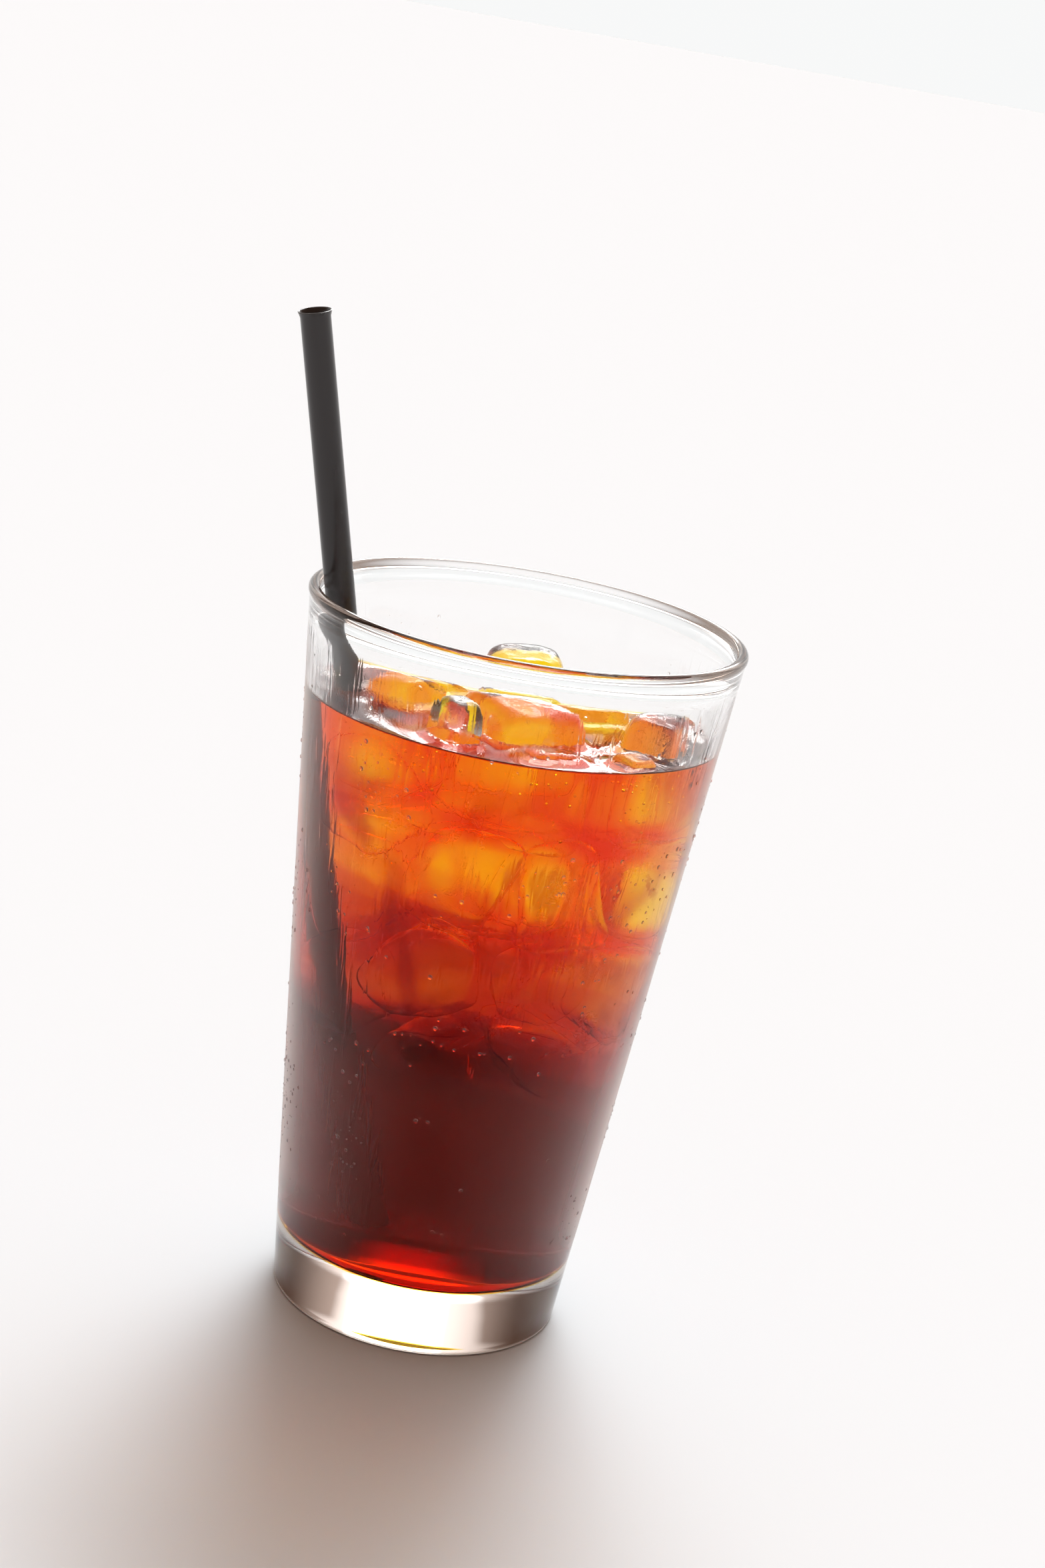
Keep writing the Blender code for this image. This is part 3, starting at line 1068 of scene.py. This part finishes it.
class MESH_OT_coffee_stage(bpy.types.Operator):
    """Set the pale floor, the soft light and the camera"""
    bl_idname = "mesh.coffee_stage"
    bl_label = "Stage"

    def execute(self, context):
        stage = sizes("stage")
        scene = context.scene
        mesh = lathe("pale_floor", [(radius, -0.15 * MM) for radius in (0.0, 0.3, 1.5, 8.0, 40.0)], 64)
        mesh.flip_normals()
        floor = bpy.data.objects.new("pale_floor", mesh)
        scene.collection.objects.link(floor)
        surface = Surface("pale_floor")
        grain = surface.noise(surface.place(), 30.0, 3.0)
        paint = surface.principled(stage.floor_colour, 0.7, Specular_IOR_Level=0.0,
                                   Normal=surface.bump(grain, 0.02, MM))
        mesh.materials.append(surface.finish(paint))

        world = bpy.data.worlds.new("soft_surround")
        sky = Surface(world, "ShaderNodeOutputWorld")
        way = sky.node("ShaderNodeTexCoord", out="Generated")
        across, back, up = (sky.node("ShaderNodeSeparateXYZ", None, {"Vector": way}, out=name)
                            for name in "XYZ")
        aside = (across - stage.side).math("ABSOLUTE")
        glow = back.ramp(0.0, 0.3) * up.fade(0.15, 0.4)
        # Each light's strength, where it fades sideways, and its band of heights.
        lights = (
            (stage.softbox, (0.16, 0.66), (0.2, 0.38, 0.80, 0.92)),
            (stage.lamp, (0.18, 0.24), (0.29, 0.32, 0.44, 0.47)),
            (stage.above, (0.04, 0.32), (0.68, 0.76, 0.80, 0.90)),
        )
        strength = glow * stage.horizon
        for power, sideways, upward in lights:
            strength = strength + (back > 0.0) * aside.fade(*sideways) * up.band(*upward) * power
        lit = ((stage.studio_colour, strength), (stage.room_colour, (1.0 - glow) * stage.sky))
        studio, room = (sky.node("ShaderNodeBackground", None, {"Color": (*colour, 1.0), "Strength": power})
                        for colour, power in lit)
        sky.finish(sky.node("ShaderNodeAddShader", None, {0: studio, 1: room}))
        scene.world = world

        camera = bpy.data.cameras.new("camera")
        camera.sensor_fit = "VERTICAL"
        camera.sensor_height = stage.sensor
        camera.lens = stage.lens
        camera.clip_start = 0.01
        camera.clip_end = 50.0
        viewer = bpy.data.objects.new("camera", camera)
        scene.collection.objects.link(viewer)
        pitch, yaw, roll = (math.radians(angle) for angle in (stage.pitch, stage.yaw, stage.roll))
        turn = Matrix.Rotation(-yaw, 4, "Z") @ Matrix.Rotation(math.pi / 2 + pitch, 4, "X")
        turn = turn @ Matrix.Rotation(roll, 4, "Z")
        viewer.matrix_world = Matrix.Translation(stage.eye) @ turn
        scene.camera = viewer

        scene.view_settings.view_transform = "Standard"
        scene.cycles.max_bounces = 48
        scene.cycles.transmission_bounces = 48
        scene.cycles.transparent_max_bounces = 32
        scene.cycles.glossy_bounces = 6
        scene.cycles.diffuse_bounces = 3
        scene.cycles.use_denoising = True
        return {"FINISHED"}


class VIEW3D_PT_iced_coffee(bpy.types.Panel):
    """Lists the operators that build the drink"""
    bl_label = "Iced Coffee"
    bl_idname = "VIEW3D_PT_iced_coffee"
    bl_space_type = "VIEW_3D"
    bl_region_type = "UI"
    bl_category = "Iced Coffee"

    def draw(self, context):
        for operator in OPERATORS:
            self.layout.operator(operator.bl_idname)


class IcedCoffee(bpy.types.PropertyGroup):
    glass: PointerProperty(type=GlassSizes)
    coffee: PointerProperty(type=CoffeeSizes)
    ice: PointerProperty(type=IceSizes)
    straw: PointerProperty(type=StrawSizes)
    drops: PointerProperty(type=DropSizes)
    stage: PointerProperty(type=StageSizes)


OPERATORS = (
    MESH_OT_coffee_stage,
    MESH_OT_coffee_glass,
    MESH_OT_coffee_straw,
    MESH_OT_coffee_ice,
    MESH_OT_coffee_liquid,
    MESH_OT_coffee_condensation,
)
CLASSES = (GlassSizes, CoffeeSizes, IceSizes, StrawSizes, DropSizes, StageSizes, IcedCoffee,
           *OPERATORS, VIEW3D_PT_iced_coffee)


def register():
    for made in CLASSES:
        bpy.utils.register_class(made)
    bpy.types.Scene.iced_coffee = PointerProperty(type=IcedCoffee)


def unregister():
    del bpy.types.Scene.iced_coffee
    for made in reversed(CLASSES):
        bpy.utils.unregister_class(made)


def main():
    register()
    for operator in OPERATORS:
        group, name = operator.bl_idname.split(".")
        getattr(getattr(bpy.ops, group), name)()


if __name__ == "__main__":
    main()
